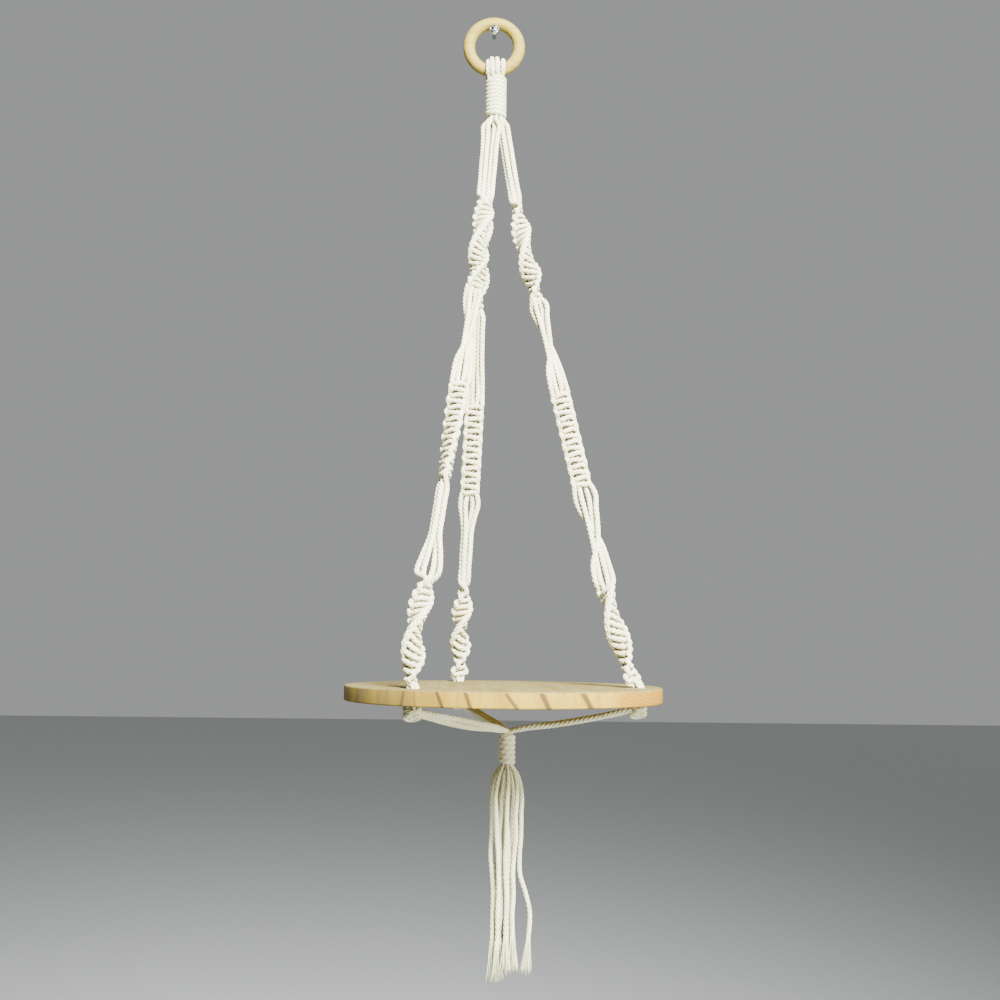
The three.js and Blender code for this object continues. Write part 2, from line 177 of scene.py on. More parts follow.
# One row a leg, from the neck down. The turns are how far each knotted stretch is turned about
# the leg at its top and foot. A gap's row says how far the left and the right strand stand out
# just below the knots, the spread halfway and just above the next knots, and whether the outer
# strands cross. The stack is how far its cords lie above and below one another on their way in
# below the board, in cords.
LEGS = {
    "leg_front_left": {
        "hole": 230.4, "neck": 232, "stack": 0.47, "drift": (0, 2.2, 4.3, 4.6, 4.0, 2.6, 0.4, -4.2, -2),
        "turns": ((-70, 330), (0, 82), (-90, 285)),
        "gaps": ((7.4, 7.2, 6.0, 5.6, False), (6.4, 6.4, 3.6, 6.6, True), (3.4, 3.0, 3.2, 8.2, False)),
    },
    "leg_right": {
        "hole": -9.6, "neck": -8, "stack": 0.1, "drift": (0, -3.5, -6.4, -7.6, -6.4, -6.4, -6.4, -6.0, -3),
        "turns": ((-105, 305), (10, 0), (40, 331)),
        "gaps": ((3.4, 3.4, 3.6, 3.4, False), (5.8, 7.8, 3.4, 6.4, True), (7.6, 9.6, 5.2, 7.2, True)),
    },
    "leg_back": {
        "hole": 110.4, "neck": 112, "stack": 0.4, "drift": (0, -2.6, -3.4, -4.4, -1.2, -0.4, -0.4, -0.6, 0),
        "turns": ((-60, 300), (0, 5), (-110, 345)),
        "gaps": ((4.0, 4.0, 5.0, 4.6, False), (4.2, 5.6, 5.4, 6.4, False), (8.2, 8.6, 3.6, 3.2, False)),
    },
}

# Where a strand runs inside the upper wrap, as its reach and its swing about the leg's side of
# the bundle, and how far that reach goes and how thick it is, at heights above the neck
PACKED_PLACES = ((0.75, -0.7), (0.25, 0.0), (0.78, 0.0), (0.75, 0.7))
PACKED_ROWS = ((8, 6.0, PACKED), (2.6, 7.6, 0.8), (-1.6, 10.2, 0.95))
# Where the four strands go into their hole, as shares of their reach from its middle, and that
# reach at heights above the board's top, for the legs and for the cords below the board
HOLE_PLACES = ((-1, 0.2), (0.1, -1), (-0.1, 1), (1, -0.2))
HOLE_ROWS = ((1, 3.0), (-7, 2.8))
UNDER_HOLE_ROWS = ((BOARD_TOP - 5, 2.8), (BOARD_UNDER - 0.5, 2.6))
# Height from the lower wrap's top, share of the bundle's reach and thickness inside that wrap
LOWER_PACKED_ROWS = ((-0.5, 1, 0.7), (-9, 0.9, PACKED))

# The tassel. Sway is how far a strand strays by chance at each wave of its length.
TASSEL = {
    "neck": -668, "bulge": -683, "waist": -738, "low": -774, "strand": 3.6, "sway": 0.6, "wave": 15,
}
# A strand's start inside the lower wrap: share of its reach at the neck, height above the
# wrap's foot and thickness
TASSEL_ROOTS = ((0.34, 8, PACKED), (0.4, 1, 0.66))
# One row a strand: the side it hangs on, its reach from the middle at the neck, the bulge, the
# waist, the low part and the end, and the height of its end
TASSEL_STRANDS = (
    (0, 8.8, 11.6, 10, 19.4, 15.5, -820), (45, 8.6, 10.6, 8.6, 7.3, 8, -817),
    (92, 8.4, 9.8, 8, 7.3, 8, -818), (137, 8.8, 11, 9.8, 9.8, 9.5, -822),
    (180, 9.2, 12, 10.9, 10.4, 10.6, -825), (224, 8.8, 11, 9.6, 9, 9.6, -824),
    (270, 8.4, 9.8, 8, 7.4, 8, -818), (316, 8.6, 10.6, 8.6, 7.4, 8.4, -816),
    (20, 3.2, 4.8, 3.8, 2.9, 3.6, -816), (110, 3.2, 4.4, 3.4, 3, 3.2, -819),
    (200, 3.2, 5, 4.4, 4.2, 4, -823), (290, 3.2, 4.4, 3.4, 3, 3.2, -817),
)
# The frayed end of a strand: how far its cord still goes down in it, getting thinner, and its
# threads, with where they start in the cord, their spread halfway down as a share of that at
# their ends, how unevenly they end and how far they bend by chance, halfway and at their ends
FRAY = {
    "length": 28, "cord_goes": 6, "cord_share": 0.25, "cord_top": 0.95, "cord_end": 0.55,
    "threads": 42, "radius": 0.46, "root": 0.7, "lap": 3, "spread": 4.2, "halfway": 0.6,
    "inmost": 0.05, "uneven": 5.5, "bend": 0.6, "bend_end": 1.5,
}


# Camera, at the place and angle from which the photograph was taken
CAMERA = {
    "at": (-0.0085, -1.148, -0.562), "lens": 46.08, "sensor": 36,
    "pitch": 6.23, "yaw": -0.94, "roll": -0.65,
}


def add_camera():
    """The camera's axes: forward from pitch and yaw, right and up turned about it by the roll."""
    pitch, yaw, roll = rad(CAMERA["pitch"]), rad(CAMERA["yaw"]), rad(CAMERA["roll"])
    forward = np.array([-np.sin(yaw) * np.cos(pitch), np.cos(yaw) * np.cos(pitch), np.sin(pitch)])
    right = np.array([np.cos(yaw), np.sin(yaw), 0])
    up = np.cross(right, forward)
    rolled = right * np.cos(roll) - up * np.sin(roll)
    upright = right * np.sin(roll) + up * np.cos(roll)
    place = np.eye(4)
    place[:3, 0] = rolled
    place[:3, 1] = upright
    place[:3, 2] = -forward
    place[:3, 3] = CAMERA["at"]
    lens = bpy.data.cameras.new("camera")
    lens.lens = CAMERA["lens"]
    lens.sensor_width = CAMERA["sensor"]
    lens.clip_start = 0.01
    camera = bpy.data.objects.new("camera", lens)
    camera.matrix_world = Matrix(place.tolist())
    bpy.context.scene.collection.objects.link(camera)
    bpy.context.scene.camera = camera


add_camera()


# Finishes


class Value:
    """A number that a shader works out. Sums and products of values add their Math nodes."""

    def __init__(self, finish, socket):
        self.finish = finish
        self.socket = socket

    def math(self, operation, *others):
        node = self.finish.node("ShaderNodeMath", {"operation": operation}, [self, *others])
        return Value(self.finish, node.outputs[0])

    def __add__(self, other):
        return self.math("ADD", other)

    def __sub__(self, other):
        return self.math("SUBTRACT", other)

    def __mul__(self, other):
        return self.math("MULTIPLY", other)

    def __rsub__(self, other):
        return (self * -1) + other

    __radd__ = __add__
    __rmul__ = __mul__

    def size(self):
        return self.math("ABSOLUTE")

    def sine(self):
        return self.math("SINE")

    def cosine(self):
        return self.math("COSINE")

    def step(self, start, end):
        """0 before start and 1 after end, with a soft change between them."""
        settings = {"interpolation_type": "SMOOTHSTEP"}
        inputs = {"Value": self, "From Min": start, "From Max": end}
        node = self.finish.node("ShaderNodeMapRange", settings, inputs)
        return Value(self.finish, node.outputs["Result"])


class Finish:
    """A material with its Principled shader, and the means to add nodes to it."""

    def __init__(self, name):
        self.material = bpy.data.materials.new(name)
        self.material.use_nodes = True
        self.tree = self.material.node_tree
        self.shader = self.tree.nodes["Principled BSDF"]

    def plug(self, socket, given):
        if isinstance(given, Value):
            given = given.socket
        if isinstance(given, bpy.types.NodeSocket):
            self.tree.links.new(given, socket)
        else:
            socket.default_value = given

    def node(self, kind, settings=None, inputs=None):
        """A node of that kind: its settings first, then the values or links of its sockets."""
        node = self.tree.nodes.new(kind)
        for name, setting in (settings or {}).items():
            setattr(node, name, setting)
        pairs = inputs.items() if isinstance(inputs, dict) else enumerate(inputs or ())
        for key, given in pairs:
            self.plug(node.inputs[key], given)
        return node

    def place(self):
        """The place on the object, in metres."""
        return self.node("ShaderNodeTexCoord").outputs["Object"]

    def depth(self):
        """The attribute, from 0 to 1, of how deep a point lies between its neighbours, which sets its
        painted shade.
        """
        node = self.node("ShaderNodeAttribute", {"attribute_name": "depth_for_painted_shade"})
        return Value(self, node.outputs["Fac"])

    def parts(self, vector):
        split = self.node("ShaderNodeSeparateXYZ", None, [vector])
        return [Value(self, output) for output in split.outputs]

    def vector(self, x, y, z):
        return self.node("ShaderNodeCombineXYZ", None, [x, y, z]).outputs[0]

    def length(self, vector):
        node = self.node("ShaderNodeVectorMath", {"operation": "LENGTH"}, [vector])
        return Value(self, node.outputs["Value"])

    def noise(self, vector, scale, detail=2.0, roughness=0.5):
        inputs = {"Vector": vector, "Scale": scale, "Detail": detail, "Roughness": roughness}
        return Value(self, self.node("ShaderNodeTexNoise", None, inputs).outputs["Fac"])

    def blend(self, share, first, second):
        """The first colour where share is 0 and the second where it is 1."""
        node = self.node("ShaderNodeMix", {"data_type": "RGBA"})
        self.plug(node.inputs["Factor"], share)
        self.plug(node.inputs[6], first)
        self.plug(node.inputs[7], second)
        return node.outputs[2]

    def bump(self, height, strength, distance):
        inputs = {"Strength": strength, "Distance": distance, "Height": height}
        node = self.node("ShaderNodeBump", None, inputs)
        self.plug(self.shader.inputs["Normal"], node.outputs["Normal"])

    def set(self, **values):
        for name, given in values.items():
            self.plug(self.shader.inputs[name.replace("_", " ")], given)


def colour(red, green, blue):
    """A screen colour from 0 to 255 as the linear colour that a shader takes."""
    share = np.array([red, green, blue]) / 255
    linear = np.where(share <= 0.04045, share / 12.92, ((share + 0.055) / 1.055) ** 2.4)
    return (*linear.tolist(), 1.0)


COTTON_LIT = colour(217, 217, 174)
COTTON_WARM = colour(209, 205, 158)
COTTON_GROOVE_SHADE = colour(142, 128, 95)
COTTON_PAINTED_SHADE = colour(114, 96, 62)
RING_PALE = colour(146, 130, 54)
RING_DARK = colour(122, 102, 36)
PINE_PALE = colour(150, 125, 36)
PINE_MID = colour(124, 94, 20)
PINE_BROWN = colour(66, 46, 16)
PINE_ORANGE = colour(136, 94, 12)
PINE_SHADE = colour(82, 74, 50)
PINE_TOP_SHADE = colour(90, 90, 66)
PINE_TOP_SHADE_GRAIN = colour(76, 72, 44)
STEEL_PALE = (0.6, 0.6, 0.62, 1.0)
STEEL_RECESS_SHADE = (0.03, 0.03, 0.035, 1.0)


def cotton():
    """Twisted cotton. The map's first number goes once round a cord along its plies, and its
    second is the run along the cord in lays, so their sum stays at one side of the cord. The
    grooves between the plies and the places deep between the bars of a knot have painted shade."""
    finish = Finish("cotton")
    along, run, _ = finish.parts(finish.node("ShaderNodeTexCoord").outputs["UV"])
    crest = (along * (PLIES * np.pi)).cosine().size()
    side = (along - run) * (2 * np.pi)
    fibres = finish.noise(finish.vector(side.cosine(), side.sine(), run * 0.7), 9.0, 3.0, 0.6)
    cloud = finish.noise(finish.place(), 45.0, 2.0)
    warm = finish.blend(cloud.step(0.35, 0.7), COTTON_LIT, COTTON_WARM)
    # Painted shade in the grooves between the plies, with darker fibres at random
    groove = 1 - crest.step(0.0, 0.62)
    twisted = finish.blend(groove * 0.7 + (0.5 - fibres).step(0.0, 0.25) * 0.25, warm, COTTON_GROOVE_SHADE)
    # Painted shade deep between the bars of a knot
    finish.set(Base_Color=finish.blend(finish.depth() * 0.75, twisted, COTTON_PAINTED_SHADE))
    finish.set(Roughness=0.92, Sheen_Weight=0.35, Sheen_Roughness=0.5, Specular_IOR_Level=0.2)
    finish.bump(fibres + crest * 0.4, 0.6, 0.0006)
    return finish.material


def ring_wood():
    """Pale smooth wood whose grain runs straight across the ring."""
    finish = Finish("ring_wood")
    x, y, z = finish.parts(finish.place())
    grain = finish.noise(finish.vector(x * 0.08, y, z), 420.0, 4.0, 0.6)
    finish.set(Base_Color=finish.blend(grain.step(0.35, 0.75) * 0.7, RING_PALE, RING_DARK))
    finish.set(Roughness=0.6, Specular_IOR_Level=0.15)
    finish.bump(grain, 0.15, 0.0003)
    return finish.material


# The dark bands of the board where they cross its front edge: place across at the top of the
# edge, lean from there to its foot, half width and strength
PINE_BANDS = (
    (-60, -2.5, 1.5, 0.6), (-53, 1.0, 1.0, 0.35), (-36.8, 4.5, 1.6, 0.9), (-16.7, 4.3, 1.8, 0.85),
    (11.4, 8.7, 2.0, 0.75), (36.9, 5.3, 2.4, 1.0), (66.3, 6.8, 2.6, 0.95),
)
PINE_TAIL = 11  # how far the soft darkening goes to the left of a band
# In metres across the board, where the grey streaks and painted shade of its left end fade
# out and where the orange patch of its right end comes in, and the middle of the patch's
# curved grain
PINE_STREAKS_AND_SHADE = (-0.09, -0.01)
PINE_PATCH = (0.084, 0.1)
PINE_SWIRL = (0.128, -0.13, -0.575)
PINE_RINGS = 1500.0  # radians a metre of the curved grain


def pine():
    """Sanded pine. Its dark bands are leaning planes that run from the front of the board to
    the back, each with a soft darkening at its left side. There is fine grain between them, an
    orange patch with curved grain at the right end and grey-brown streaks over painted shade at
    the left end. The top face is greyer and darker, which is painted shade, and its bands and
    grain are fainter."""
    finish = Finish("pine")
    x, y, z = finish.parts(finish.place())
    depth = (z - BOARD_TOP * MM) * (1 / ((BOARD_UNDER - BOARD_TOP) * MM))
    edge = depth.step(0.03, 0.12)
    wave = finish.noise(finish.vector(x * 0.5, y * 0.35, z), 9.0, 2.0) - 0.5
    fleck = finish.noise(finish.vector(x, y * 0.1, z * 0.3), 260.0, 3.0) - 0.5
    bent = x + wave * 0.16 * (y - BOARD_FRONT * MM) + fleck * 0.0014
    dark = None
    for place, lean, half, strength in PINE_BANDS:
        away = bent - place * MM - depth * (lean * MM)
        line = 1 - away.size().step(half * 0.3 * MM, half * 1.3 * MM)
        tail = away.step(-PINE_TAIL * MM, 0) * (1 - away.step(0, 0.8 * MM)) * 0.3
        band = (line + tail) * strength
        dark = band if dark is None else dark + band
    fine = finish.noise(finish.vector(bent, y * 0.04, z * 0.25), 300.0, 3.0, 0.6)
    broad = finish.noise(finish.vector(bent, y * 0.06, z * 0.3), 60.0, 2.0)
    base = finish.blend(fine.step(0.4, 0.75) * 0.55 + broad.step(0.45, 0.7) * 0.4, PINE_PALE, PINE_MID)
    swirl_x, swirl_y, swirl_z = PINE_SWIRL
    swirl = finish.vector(x - swirl_x, (y - swirl_y) * 0.3, (z - swirl_z) * 1.6)
    ring = finish.length(swirl)
    curved = ((ring + fleck * 0.002 + wave * 0.02) * PINE_RINGS).sine() * 0.5 + 0.5
    right = x.step(*PINE_PATCH) * edge * (curved * 0.45 + 0.5)
    streaks = finish.noise(finish.vector(bent, y * 0.02, z * 0.1), 160.0, 2.0, 0.5)
    # At the left end grey-brown streaks over an even painted shade, weaker on the top face
    streaks_and_shade = streaks.step(0.35, 0.65) * 0.38 + 0.4
    left = (1 - x.step(*PINE_STREAKS_AND_SHADE)) * streaks_and_shade * (edge * 0.85 + 0.15)
    toned = finish.blend(right, base, PINE_ORANGE)
    left_streaks_and_shade = finish.blend(left, toned, PINE_SHADE)
    banded = finish.blend(dark.math("MINIMUM", 1.0) * (edge * 0.78 + 0.12), left_streaks_and_shade, PINE_BROWN)
    grain = fine.step(0.42, 0.7) * 0.5 + broad.step(0.4, 0.65) * 0.5
    # Painted shade on the top face: greyer and darker, with its grain fainter
    top_shade = finish.blend(grain, PINE_TOP_SHADE, PINE_TOP_SHADE_GRAIN)
    finish.set(Base_Color=finish.blend((1 - edge) * 0.7, banded, top_shade))
    finish.set(Roughness=0.75, Specular_IOR_Level=0.25)
    finish.bump(fine + fleck, 0.2, 0.0003)
    return finish.material


def steel():
    """Bright zinc plate with faint marks, with painted shade in the recess."""
    finish = Finish("steel")
    marks = finish.noise(finish.place(), 900.0, 3.0)
    # Painted shade deep in the cross recess
    finish.set(Base_Color=finish.blend(finish.depth() * 0.9, STEEL_PALE, STEEL_RECESS_SHADE))
    finish.set(Metallic=1.0, Roughness=marks.step(0.2, 0.9) * 0.2 + 0.2)
    return finish.material


FINISHES = {"cotton": cotton(), "ring_wood": ring_wood(), "pine": pine(), "steel": steel()}


# Shapes


class Skin:
    """Points with faces and a map, collected for one piece."""

    def __init__(self):
        self.points, self.faces, self.sizes, self.maps = [], [], [], []
        self.count = 0

    def add_points(self, points):
        start = self.count
        self.points.append(points)
        self.count += len(points)
        return start

    def add_faces(self, faces, uv):
        """faces is rows of point numbers, all of one length, and uv a pair for each of them."""
        self.faces.append(faces.ravel())
        self.sizes.append(np.full(len(faces), faces.shape[1]))
        self.maps.append(uv.reshape(-1, 2))


def wound(skin, rings, around, along):
    """Closes a grid of rings, each a loop of points, into a skin with a pole at both ends.
    Faces look outwards where the loops turn anticlockwise about the way along."""
    count, sides = rings.shape[:2]
    start = skin.add_points(rings.reshape(-1, 3))
    i, j = np.meshgrid(np.arange(count - 1), np.arange(sides), indexing="ij")
    i, j = i.ravel(), j.ravel()
    after = (j + 1) % sides
    ring, next_ring = i * sides, (i + 1) * sides
    quads = np.column_stack([ring + j, ring + after, next_ring + after, next_ring + j])
    u = np.column_stack([around[j], around[j + 1], around[j + 1], around[j]])
    v = np.column_stack([along[i], along[i], along[i + 1], along[i + 1]])
    skin.add_faces(quads + start, np.stack([u, v], axis=2))
    ends = skin.add_points(np.array([rings[0].mean(axis=0), rings[-1].mean(axis=0)]))
    j = np.arange(sides)
    last = start + (count - 1) * sides
    first_cap = np.column_stack([np.full(sides, ends), start + (j + 1) % sides, start + j])
    last_cap = np.column_stack([np.full(sides, ends + 1), last + j, last + (j + 1) % sides])
    for cap, turns, at in ((first_cap, (j, j + 1, j), along[0]), (last_cap, (j, j, j + 1), along[-1])):
        u = np.column_stack([around[t] for t in turns])
        skin.add_faces(cap, np.stack([u, np.full(u.shape, at)], axis=2))


def smooth_path(points, step):
    """A curve through the points, which may carry a radius in a fourth column. The slope at a
    point is the mean of the slopes on both sides, the nearer one counting more, and each
    stretch is the cubic with those slopes. It is then cut into even steps by its length."""
    points = np.asarray(points, float)
    chords = np.diff(points, axis=0)
    spans = np.sqrt(np.linalg.norm(chords[:, :3], axis=1))[:, None]
    slopes = chords / spans
    inner = (spans[1:] * slopes[:-1] + spans[:-1] * slopes[1:]) / (spans[1:] + spans[:-1])
    slope = np.vstack([slopes[:1], inner, slopes[-1:]])
    t = np.linspace(0, 1, 10, endpoint=False)[None, :, None]
    start, end = points[:-1, None], points[1:, None]
    out, into = (slope[:-1] * spans)[:, None], (slope[1:] * spans)[:, None]
    cubic = (
        (2 * t**3 - 3 * t**2 + 1) * start + (t**3 - 2 * t**2 + t) * out
        + (3 * t**2 - 2 * t**3) * end + (t**3 - t**2) * into
    )
    curve = np.vstack([cubic.reshape(-1, points.shape[1]), points[-1:]])
    run = np.append(0, np.cumsum(np.linalg.norm(np.diff(curve[:, :3], axis=0), axis=1)))
    even = np.linspace(0, run[-1], max(3, int(round(run[-1] / step)) + 1))
    return np.column_stack([np.interp(even, run, column) for column in curve.T]), even


def unit(rows):
    return rows / np.linalg.norm(rows, axis=1, keepdims=True)


def level_frames(path):
    """Two directions across a path that don't twist about it: any pair square to it is carried
    from each point to the next, and the running sum of the turns between the two puts it right."""
    along = unit(np.gradient(path, axis=0))
    least = np.eye(3)[np.argmin(np.abs(along), axis=1)]
    across = unit(np.cross(along, least))
    side = np.cross(along, across)
    both = along[:-1] + along[1:]
    share = (across[:-1] * along[1:]).sum(axis=1) / (1 + (along[:-1] * along[1:]).sum(axis=1))
    carried = across[:-1] - share[:, None] * both
    turns = np.arctan2((carried * side[1:]).sum(axis=1), (carried * across[1:]).sum(axis=1))
    turn = np.append(0, np.cumsum(turns))[:, None]
    level = np.cos(turn) * across + np.sin(turn) * side
    return level, np.cross(along, level)


CORD_STEP = 0.95
CORD_SIDES = 12
THREAD_STEP = 3.2
THREAD_SIDES = 3
THREAD_TAPER = 0.6  # share of its radius that a thread has lost at its end
GROOVE = 0.14  # depth of the grooves between plies, as a share of the radius


def add_cord(skin, points, radius=CORD_RADIUS, start_turn=0.0, groove=GROOVE):
    """A three-ply cord through the points. Its section is round with three grooves, the radius
    falling with the share that |cos 1.5 angle| is short of 1, and turns once to the left in a lay."""
    points = np.asarray(points, float)
    if points.shape[1] == 3:
        points = np.column_stack([points, np.full(len(points), radius)])
    path, run = smooth_path(points, CORD_STEP)
    level, side = level_frames(path[:, :3])
    around = np.linspace(0, 1, CORD_SIDES + 1)
    angle = around[:-1] * 2 * np.pi
    section = 1 - groove * (1 - np.abs(np.cos(PLIES / 2 * angle)))
    turned = angle[None, :] - 2 * np.pi * run[:, None] / LAY + start_turn
    reach = path[:, 3:] * section[None, :]
    rings = (
        path[:, None, :3]
        + (reach * np.cos(turned))[:, :, None] * level[:, None]
        + (reach * np.sin(turned))[:, :, None] * side[:, None]
    )
    wound(skin, rings, around, run / LAY)


def add_thread(skin, points, radius):
    """A fine thread of three sides through the points, thinner to its end."""
    path, run = smooth_path(points, THREAD_STEP)
    level, side = level_frames(path)
    around = np.linspace(0, 1, THREAD_SIDES + 1)
    angle = around[:-1] * 2 * np.pi
    reach = radius * (1 - THREAD_TAPER * run / run[-1])[:, None, None]
    rings = path[:, None] + reach * (
        np.cos(angle)[None, :, None] * level[:, None] + np.sin(angle)[None, :, None] * side[:, None]
    )
    wound(skin, rings, np.zeros(THREAD_SIDES + 1), run / LAY)


def lathe(skin, radius, height, centre, sides, axis="z"):
    """A profile of radius and height turned about an upright axis, or about the screw's, which
    points to the viewer."""
    around = np.linspace(0, 1, sides + 1)
    angle = around[:-1] * 2 * np.pi
    ring = np.stack([np.cos(angle), np.sin(angle)], axis=1)[None] * np.asarray(radius)[:, None, None]
    up = np.broadcast_to(np.asarray(height, float)[:, None], ring.shape[:2])
    if axis == "z":
        rings = np.stack([ring[..., 0], ring[..., 1], up], axis=2)
    else:
        rings = np.stack([ring[..., 0], -up, ring[..., 1]], axis=2)
    wound(skin, rings + np.asarray(centre, float), around, np.linspace(0, 1, len(radius)))


def piece(name, skin, finish, stands_for, depth_for_painted_shade=None):
    """The skin as one object of the shelf, which stands for a frame node. Where it is given, the
    last argument says from 0 to 1 how deep each point lies between its neighbours, and sets the
    painted shade of the finish there."""
    mesh = bpy.data.meshes.new(name)
    points = np.vstack(skin.points) * MM
    corners = np.concatenate(skin.faces)
    sizes = np.concatenate(skin.sizes)
    mesh.vertices.add(len(points))
    mesh.vertices.foreach_set("co", points.ravel())
    mesh.loops.add(len(corners))
    mesh.loops.foreach_set("vertex_index", corners)
    mesh.polygons.add(len(sizes))
    mesh.polygons.foreach_set("loop_start", np.append(0, np.cumsum(sizes)[:-1]))
    mesh.polygons.foreach_set("use_smooth", np.ones(len(sizes), bool))
    mesh.update(calc_edges=True)
    layer = mesh.uv_layers.new(name="along_the_cord")
    layer.uv.foreach_set("vector", np.vstack(skin.maps).ravel())
    if depth_for_painted_shade is not None:
        mesh.attributes.new("depth_for_painted_shade", "FLOAT", "POINT").data.foreach_set("value", depth_for_painted_shade)
    mesh.materials.append(FINISHES[finish])
    made = bpy.data.objects.new(name, mesh)
    bpy.context.scene.collection.objects.link(made)
    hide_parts(stands_for)
    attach(made, "root")
    return made


# Screw and ring


def wall_screw():
    """A shank and a pan head turned about the screw's axis. The head's crown is a quarter of an
    ellipse, let in by the cross recess, which is deep within either of its two bars."""
    skin = Skin()
    crown = np.linspace(0, np.pi / 2, 30)
    base = SCREW["front"] - SCREW["crown"]
    stem = [TIP, SCREW["shank"], SCREW["shank"], SCREW["under"]]
    radius = np.concatenate([stem, SCREW["head"] * np.cos(crown)])
    radius[-1] = TIP
    height = np.concatenate([[0, 0, base, base], base + SCREW["crown"] * np.sin(crown)])
    lathe(skin, radius, height, (0, 0, 0), sides=120, axis="y")
    points = np.vstack(skin.points)
    on_top = -points[:, 1] > base + RECESS["above"]
    bars = []
    for wide, long in ((0, 2), (2, 0)):
        inside = 1 - ease((np.abs(points[:, wide]) - RECESS["half"]) / RECESS["soft"])
        reach = 1 - ease((np.abs(points[:, long]) - RECESS["reach"]) / RECESS["soft"])
        bars.append(inside * reach)
    # How far the cross recess lets each point in; the steel gets painted shade by the same share
    depth_for_painted_shade = np.maximum(*bars) * on_top
    points[:, 1] += RECESS["depth"] * depth_for_painted_shade
    skin.points = [points]
    piece("wall_screw_head_and_shank", skin, "steel", "wall_screw", depth_for_painted_shade)


def hanging_ring():
    """A tube of round section carried round a circle that faces the viewer."""
    skin = Skin()
    turns, sides = 128, 40
    turn = np.arange(turns) / turns * 2 * np.pi
    angle = np.arange(sides) / sides * 2 * np.pi
    reach = RING_MIDDLE + RING_TUBE * np.cos(angle)[None, :]
    grid = np.stack([
        reach * np.cos(turn)[:, None],
        np.broadcast_to(RING_TUBE * np.sin(angle), (turns, sides)),
        reach * np.sin(turn)[:, None],
    ], axis=2) + RING_CENTRE
    skin.add_points(grid.reshape(-1, 3))
    i, j = (a.ravel() for a in np.meshgrid(np.arange(turns), np.arange(sides), indexing="ij"))
    after, over = (i + 1) % turns, (j + 1) % sides
    ring, next_ring = i * sides, after * sides
    quads = np.column_stack([ring + j, ring + over, next_ring + over, next_ring + j])
    u = np.column_stack([j, j + 1, j + 1, j]) / sides
    v = np.column_stack([i, i, i + 1, i + 1]) / turns
    skin.add_faces(quads[:, ::-1], np.stack([u, v], axis=2)[:, ::-1])
    piece("wooden_ring", skin, "ring_wood", "hanging_ring")


# Cords over the ring, and the two wraps


def packed_places(count, radius):
    """Places of strands packed in a round bore: three quarters of them in a ring near its wall
    and the rest in a ring round its middle."""
    outer = count * 3 // 4
    places = []
    for number, reach in ((outer, radius * 0.76), (count - outer, radius * 0.27)):
        turn = np.arange(number) / number * 2 * np.pi
        places += list(zip(reach * np.cos(turn), reach * np.sin(turn)))
    return places


def hanging_cords():
    """Each cord comes up out of the upper wrap in front of the ring, goes over the ring's tube
    in an arc and down behind it into the wrap again. The bundle in the wrap is a round core."""
    skin = Skin()
    for number, (place, layer) in enumerate(LOOP_ROWS):
        across = LOOPS["x"] + place * LOOPS["pitch"]
        inner = np.sqrt((RING_MIDDLE - RING_TUBE) ** 2 - across**2)
        outer = np.sqrt((RING_MIDDLE + RING_TUBE) ** 2 - across**2)
        middle = RING_CENTRE[2] - (inner + outer) / 2
        up = (outer - inner) / 2 + CORD_RADIUS + LOOPS["slack"]
        out = RING_TUBE + CORD_RADIUS + LOOPS["slack"]
        foot_x = mix(UPPER_WRAP["x"], across, LOOPS["squeeze"])
        sunk_x = mix(UPPER_WRAP["x"], foot_x, LOOPS["sunk_squeeze"])
        front, behind = [
            (
                (sunk_x, RING_CENTRE[1] + side * LOOPS["sunk_foot"], UPPER_WRAP["top"] - LOOPS["sunk"],
                 CORD_RADIUS * PACKED),
                (foot_x, RING_CENTRE[1] + side * LOOPS["foot"], LOOPS["lowest"], CORD_RADIUS * BENT),
            )
            for side in (-1, 1)
        ]
        points = [*front]
        for degrees in LOOP_TURNS:
            sine, cosine = np.sin(rad(degrees)), np.cos(rad(degrees))
            lean = layer * LOOPS["lean"] * max(0, cosine)
            lift = layer * LOOPS["lift"] * max(0, sine)
            y = RING_CENTRE[1] - cosine * out - lean
            points.append((across, y, middle + sine * up + lift, CORD_RADIUS))
        points += behind[::-1]
        add_cord(skin, points, start_turn=number * 1.3)
    core, foot, top = UPPER_WRAP["core"], UPPER_WRAP["bottom"] + 1, UPPER_WRAP["top"] + 1
    bundle = (UPPER_WRAP["x"], UPPER_WRAP["y"], 0)
    lathe(skin, (TIP, core, core, TIP), (foot, foot, top, top), bundle, sides=24)
    piece("cords_over_the_ring", skin, "cotton", "hanging_cords")


def wrap(name, size, stands_for, lead):
    """A cord wound round a bundle in a helix, its two ends drawn in under the turns."""
    skin = Skin()
    reach = size["outer"] / 2 - CORD_RADIUS
    rising = size["turns"] - 2 * WRAPPING["level"]
    pitch = (size["top"] - size["bottom"] - CORD * WRAPPING["inset"]) / rising
    turn = np.linspace(0, size["turns"], size["turns"] * WRAPPING["steps"] + 1)
    drawn = ease(np.minimum(turn, size["turns"] - turn) / WRAPPING["over"])
    radius = mix(reach - CORD * WRAPPING["drawn"], reach, drawn)
    first = size["top"] - CORD_RADIUS * WRAPPING["inset"]
    level = first - pitch * np.clip(turn - WRAPPING["level"], 0, rising)
    angle = rad(lead) + turn * 2 * np.pi
    x, y = size["x"] + radius * np.cos(angle), size["y"] + radius * np.sin(angle)
    cord = CORD_RADIUS * WRAPPING["thicker"]
    add_cord(skin, np.column_stack([x, y, level]), cord, groove=GROOVE * WRAPPING["grooved"])
    piece(name, skin, "cotton", stands_for)


# Legs


def turned_about(across, behind, angle):
    """A place in a leg's section, turned about the leg."""
    return (
        across * np.cos(angle) + behind * np.sin(angle),
        behind * np.cos(angle) - across * np.sin(angle),
    )


def hole_at(degrees, height):
    return np.array([
        BOARD_CENTRE[0] + HOLES_AT * np.cos(rad(degrees)),
        BOARD_CENTRE[1] + HOLES_AT * np.sin(rad(degrees)),
        height,
    ])


